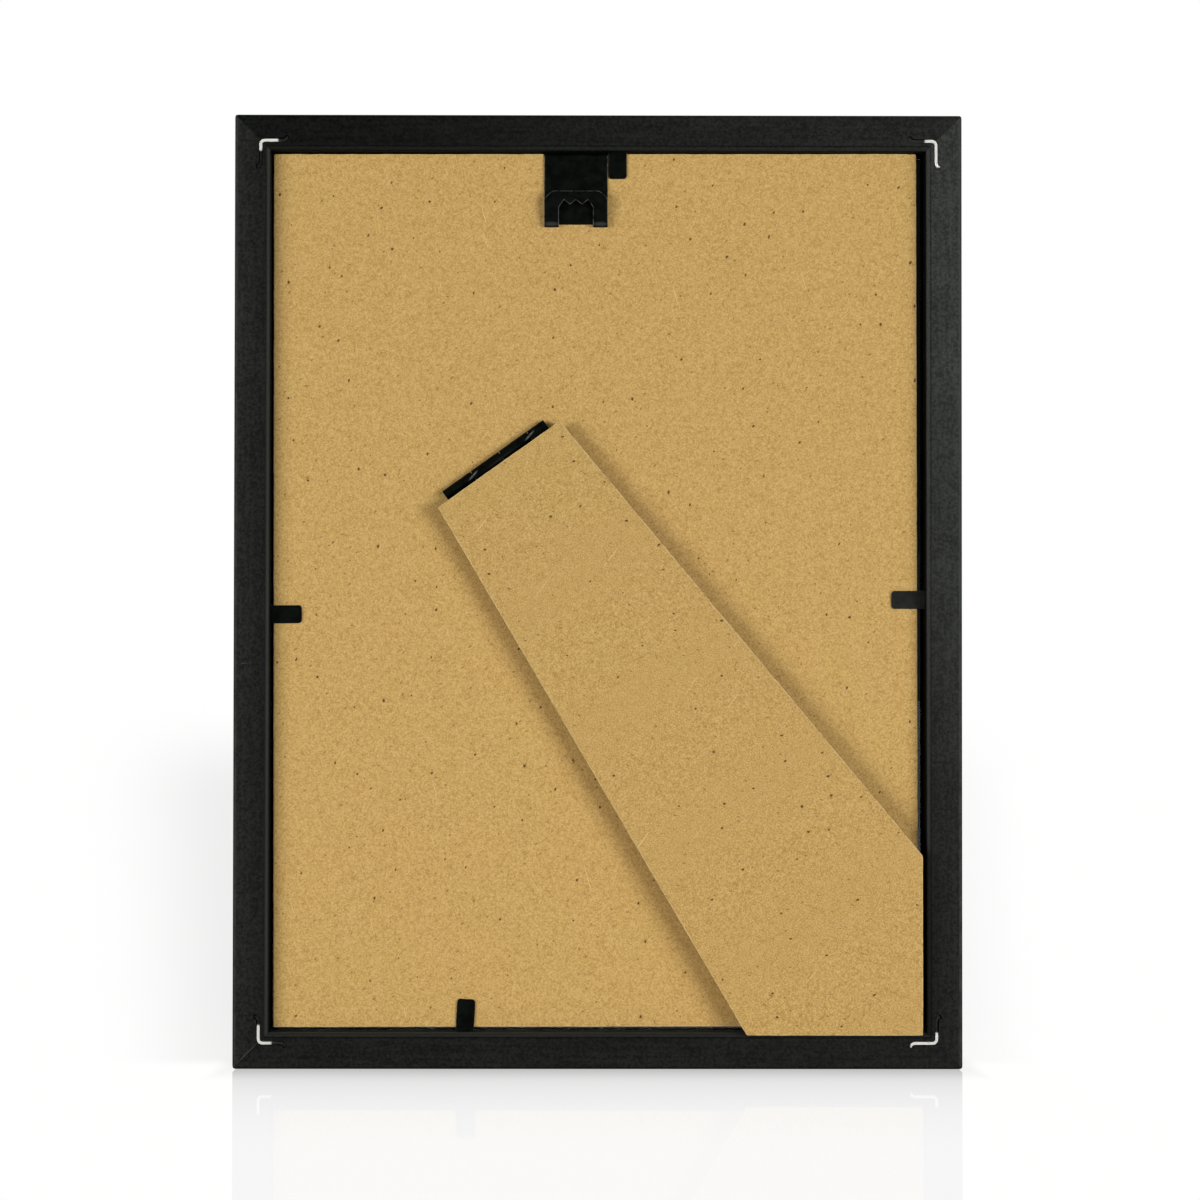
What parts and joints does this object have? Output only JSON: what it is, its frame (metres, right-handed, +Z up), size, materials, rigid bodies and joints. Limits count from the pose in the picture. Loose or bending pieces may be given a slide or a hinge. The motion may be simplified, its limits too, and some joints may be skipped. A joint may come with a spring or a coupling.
{
  "type": "picture frame",
  "caption": "Portrait picture frame with mitred black moulding, glass, fibreboard back with bendable tabs, toothed hanger clip and a folding easel leg.",
  "frame": {"origin": "middle of the bottom rail's underside, where the frame stands on a table", "axes": "+Z up along the frame's height, -Y out of the picture's front, +Y out of the back"},
  "size_m": [0.2, 0.0175, 0.262],
  "materials": {
    "black_moulding": "satin black film on wood moulding",
    "fibreboard": "raw fibreboard",
    "black_steel": "black coated sheet steel",
    "zinc_steel": "zinc plated strip",
    "glass": "clear float glass",
    "paper": "bare white sheet"
  },
  "bodies": {
    "frame": {"rail_top": "black_moulding", "rail_bottom": "black_moulding", "rail_left": "black_moulding", "rail_right": "black_moulding", "corner_nail_top_left": "zinc_steel", "corner_nail_top_right": "zinc_steel", "corner_nail_bottom_left": "zinc_steel", "corner_nail_bottom_right": "zinc_steel", "glass_pane": "glass", "insert_sheet": "paper", "backing_board": "fibreboard", "hanger_clip": "black_steel", "tab_anchor_top": "black_steel", "tab_anchor_bottom": "black_steel", "tab_anchor_left": "black_steel", "tab_anchor_right": "black_steel", "hinge_board_leaf": "black_steel", "hinge_pin": "black_steel"},
    "leg": {"easel_leg": "fibreboard", "hinge_leg_leaf": "black_steel"},
    "tab_top": {"tab_blade_top": "black_steel"},
    "tab_bottom": {"tab_blade_bottom": "black_steel"},
    "tab_left": {"tab_blade_left": "black_steel"},
    "tab_right": {"tab_blade_right": "black_steel"}
  },
  "joints": [
    {"name": "leg_swing", "type": "hinge", "parent": "frame", "child": "leg", "pos_m": [0.02827, 0.0042, 0.16705], "axis": [0.8141, 0, -0.5807], "range_deg": [-0.2, 29.4]},
    {"name": "tab_top_bend", "type": "hinge", "parent": "frame", "child": "tab_top", "pos_m": [-0.00527, 0.00298, 0.2508], "axis": [0.9999, 0, -0.014], "range_deg": [0, 85]},
    {"name": "tab_bottom_bend", "type": "hinge", "parent": "frame", "child": "tab_bottom", "pos_m": [0.03643, 0.00298, 0.0112], "axis": [-0.9986, 0, -0.0523], "range_deg": [0, 85]},
    {"name": "tab_left_bend", "type": "hinge", "parent": "frame", "child": "tab_left", "pos_m": [-0.0888, 0.00298, 0.1287], "axis": [0, 0, 1], "range_deg": [0, 85]},
    {"name": "tab_right_bend", "type": "hinge", "parent": "frame", "child": "tab_right", "pos_m": [0.0888, 0.00298, 0.12451], "axis": [-0.0105, 0, -0.9999], "range_deg": [0, 85]}
  ]
}
